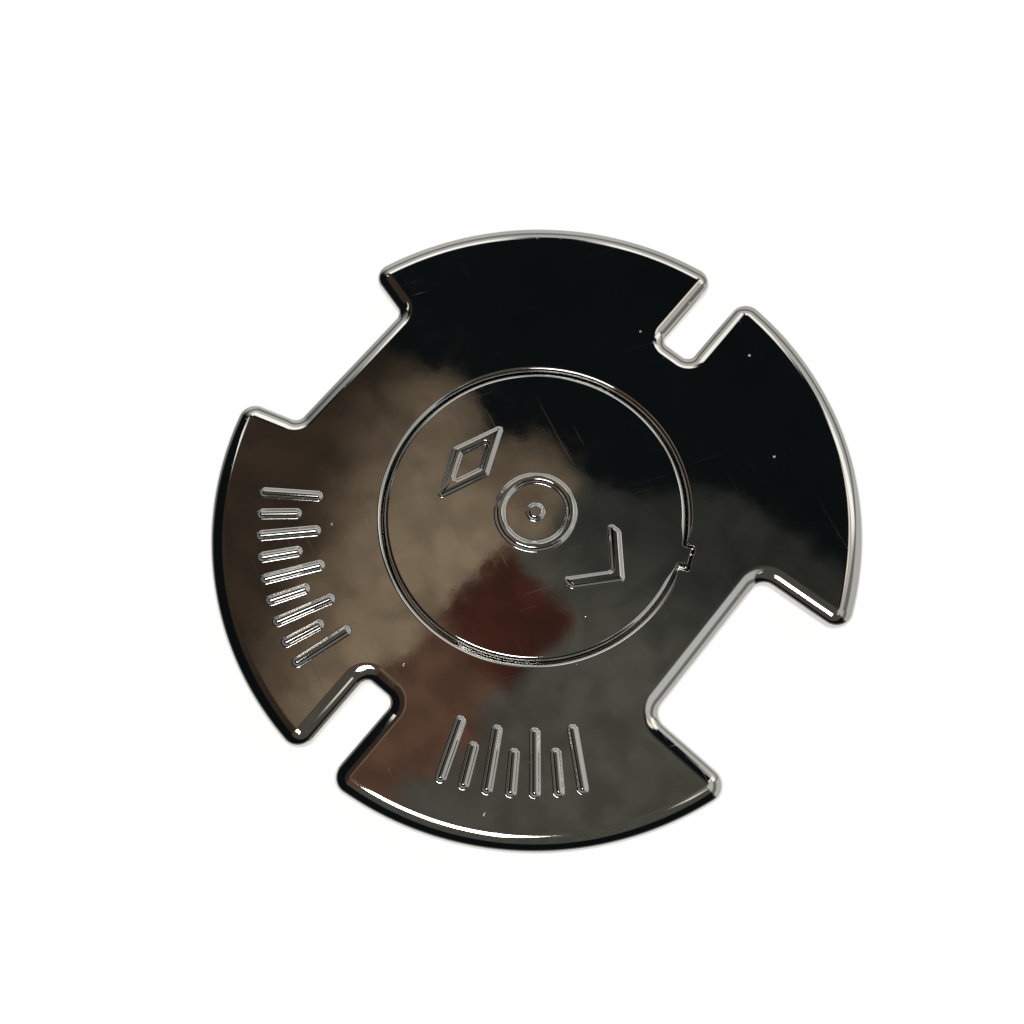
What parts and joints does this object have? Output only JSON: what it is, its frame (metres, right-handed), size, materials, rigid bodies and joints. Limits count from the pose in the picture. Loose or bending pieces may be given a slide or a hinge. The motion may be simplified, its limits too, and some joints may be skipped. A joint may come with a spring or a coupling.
{
  "type": "golf ball marker",
  "caption": "Flat round golf ball marker with edge notches, narrow sighting slots, and a keyed coin held by a magnet in a pocket at its centre.",
  "frame": {"origin": "centre of the disc on its flat back, the face that lies on the green", "axes": "+Z out of the marked face, +Y along the two narrow sighting slots, +X towards the deeper of the two wide notches"},
  "size_m": [0.0378, 0.0398, 0.0023],
  "materials": {
    "plated_casting": "bright nickel plating on a zinc die casting, mirror polished with a faint ripple",
    "plated_coin": "bright nickel plating on struck steel, mirror polished",
    "magnet_plating": "dull nickel plating, fine ground",
    "epoxy": "cured translucent epoxy"
  },
  "bodies": {
    "marker": {"marker_body": "plated_casting", "holding_magnet": "magnet_plating", "magnet_adhesive": "epoxy"},
    "coin": {"centre_coin": "plated_coin"}
  },
  "joints": [
    {"name": "coin_lift", "type": "slide", "parent": "marker", "child": "coin", "axis": [0, 0, 1], "range_m": [0, 0.008]}
  ]
}
